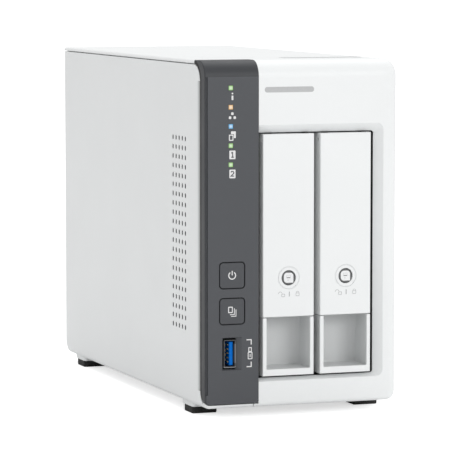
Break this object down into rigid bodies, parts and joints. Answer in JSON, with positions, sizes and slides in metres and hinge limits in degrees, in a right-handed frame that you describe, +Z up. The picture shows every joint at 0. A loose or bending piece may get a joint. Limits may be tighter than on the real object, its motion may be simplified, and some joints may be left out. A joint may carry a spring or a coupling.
{
  "type": "network attached storage",
  "caption": "Desktop network storage box with hinged-panel drive trays, grey control strip with lights and buttons, front USB port, side vents and a rear fan.",
  "frame": {"origin": "centre of the footprint, on the surface that the feet stand on", "axes": "+X to the right seen from the front, +Y from front to rear, +Z up"},
  "size_m": [0.098, 0.226, 0.168],
  "materials": {
    "white_shell": "fine matt moulded",
    "grey_insert": "fine matt moulded",
    "white_tray": "fine matt moulded",
    "black_rubber": "matt",
    "lens_green": "clear lit",
    "lens_orange": "clear lit",
    "lens_blue": "clear lit",
    "grey_button": "fine matt moulded",
    "usb_steel": "bright tinned",
    "usb_blue": "satin",
    "usb_black": "satin",
    "contact_gold": "bright plated",
    "lock_white": "satin",
    "board_green": "solder mask",
    "chip_black": "moulded resin",
    "connector_black": "satin",
    "cage_steel": "black coated sheet",
    "panel_grey": "fine matt moulded",
    "heatsink_alu": "extruded",
    "cap_can": "sleeved can",
    "coin_steel": "bright",
    "jack_steel": "tinned shield",
    "fan_black": "satin",
    "rotor_black": "satin",
    "cable_black": "soft sheath",
    "screw_black": "black zinc",
    "screw_steel": "zinc plated",
    "pin_steel": "ground",
    "drive_cast": "cast, machined",
    "drive_lid_steel": "brushed plate"
  },
  "bodies": {
    "root": {"backplane_board": "board_green", "board_connector": "connector_black", "capacitors": "cap_can", "case_screws": "screw_black", "coin_cell": "coin_steel", "copy_led_lens": "lens_blue", "dc_jack": "connector_black", "drive_1_led_lens": "lens_green", "drive_2_led_lens": "lens_green", "drive_cage": "cage_steel", "fan_cable": "cable_black", "fan_frame": "fan_black", "fan_screws": "screw_black", "foot_front_left": "black_rubber", "foot_front_right": "black_rubber", "foot_rear_left": "black_rubber", "foot_rear_right": "black_rubber", "front_board": "board_green", "front_cable": "cable_black", "front_leds": "lens_green", "front_strip": "grey_insert", "front_usb_contacts": "contact_gold", "front_usb_shell": "usb_steel", "front_usb_tongue": "usb_blue", "heatsink": "heatsink_alu", "inner_screws": "screw_steel", "lan_led_lens": "lens_orange", "left_cover": "white_shell", "main_shell": "white_shell", "mainboard": "board_green", "memory_module": "board_green", "network_jack_1": "jack_steel", "network_jack_2": "jack_steel", "processor": "chip_black", "rear_panel": "panel_grey", "rear_usb_shell": "usb_steel", "rear_usb_tongues": "usb_black", "sata_sockets": "connector_black", "status_led_lens": "lens_green", "tact_switches": "connector_black"},
    "power_button": {"power_button": "grey_button"},
    "copy_button": {"copy_button": "grey_button"},
    "reset_button": {"reset_button": "connector_black"},
    "fan_rotor": {"fan_rotor": "rotor_black"},
    "tray_1": {"tray_1_body": "white_tray", "tray_1_hinge_pin": "pin_steel", "drive_1_casting": "drive_cast", "drive_1_lid": "drive_lid_steel", "drive_1_board": "board_green", "drive_1_screws": "screw_steel"},
    "tray_1_handle": {"tray_1_handle": "white_tray"},
    "tray_1_lock": {"tray_1_lock": "lock_white"},
    "tray_2": {"tray_2_body": "white_tray", "tray_2_hinge_pin": "pin_steel", "drive_2_casting": "drive_cast", "drive_2_lid": "drive_lid_steel", "drive_2_board": "board_green", "drive_2_screws": "screw_steel"},
    "tray_2_handle": {"tray_2_handle": "white_tray"},
    "tray_2_lock": {"tray_2_lock": "lock_white"}
  },
  "joints": [
    {"name": "power_button_press", "type": "slide", "parent": "root", "child": "power_button", "axis": [0, 1, 0], "range_m": [0, 0.0008], "stiffness_N_per_m": 600},
    {"name": "copy_button_press", "type": "slide", "parent": "root", "child": "copy_button", "axis": [0, 1, 0], "range_m": [0, 0.0008], "stiffness_N_per_m": 600},
    {"name": "reset_button_press", "type": "slide", "parent": "root", "child": "reset_button", "axis": [0, -1, 0], "range_m": [0, 0.001], "stiffness_N_per_m": 400},
    {"name": "fan_spin", "type": "hinge", "parent": "root", "child": "fan_rotor", "pos_m": [0.011, 0.103, 0.1], "axis": [0, 1, 0], "continuous": true},
    {"name": "tray_1_slide", "type": "slide", "parent": "root", "child": "tray_1", "axis": [0, -1, 0], "range_m": [0, 0.17]},
    {"name": "tray_1_handle_swing", "type": "hinge", "parent": "tray_1", "child": "tray_1_handle", "pos_m": [-0.00725, -0.1096, 0.1304], "axis": [-1, 0, 0], "range_deg": [0, 32]},
    {"name": "tray_1_lock_turn", "type": "hinge", "parent": "tray_1_handle", "child": "tray_1_lock", "pos_m": [-0.00715, -0.11, 0.0655], "axis": [0, 1, 0], "range_deg": [0, 90]},
    {"name": "tray_2_slide", "type": "slide", "parent": "root", "child": "tray_2", "axis": [0, -1, 0], "range_m": [0, 0.17]},
    {"name": "tray_2_handle_swing", "type": "hinge", "parent": "tray_2", "child": "tray_2_handle", "pos_m": [0.0216, -0.1096, 0.1304], "axis": [-1, 0, 0], "range_deg": [0, 32]},
    {"name": "tray_2_lock_turn", "type": "hinge", "parent": "tray_2_handle", "child": "tray_2_lock", "pos_m": [0.0217, -0.11, 0.0655], "axis": [0, 1, 0], "range_deg": [0, 90]}
  ]
}
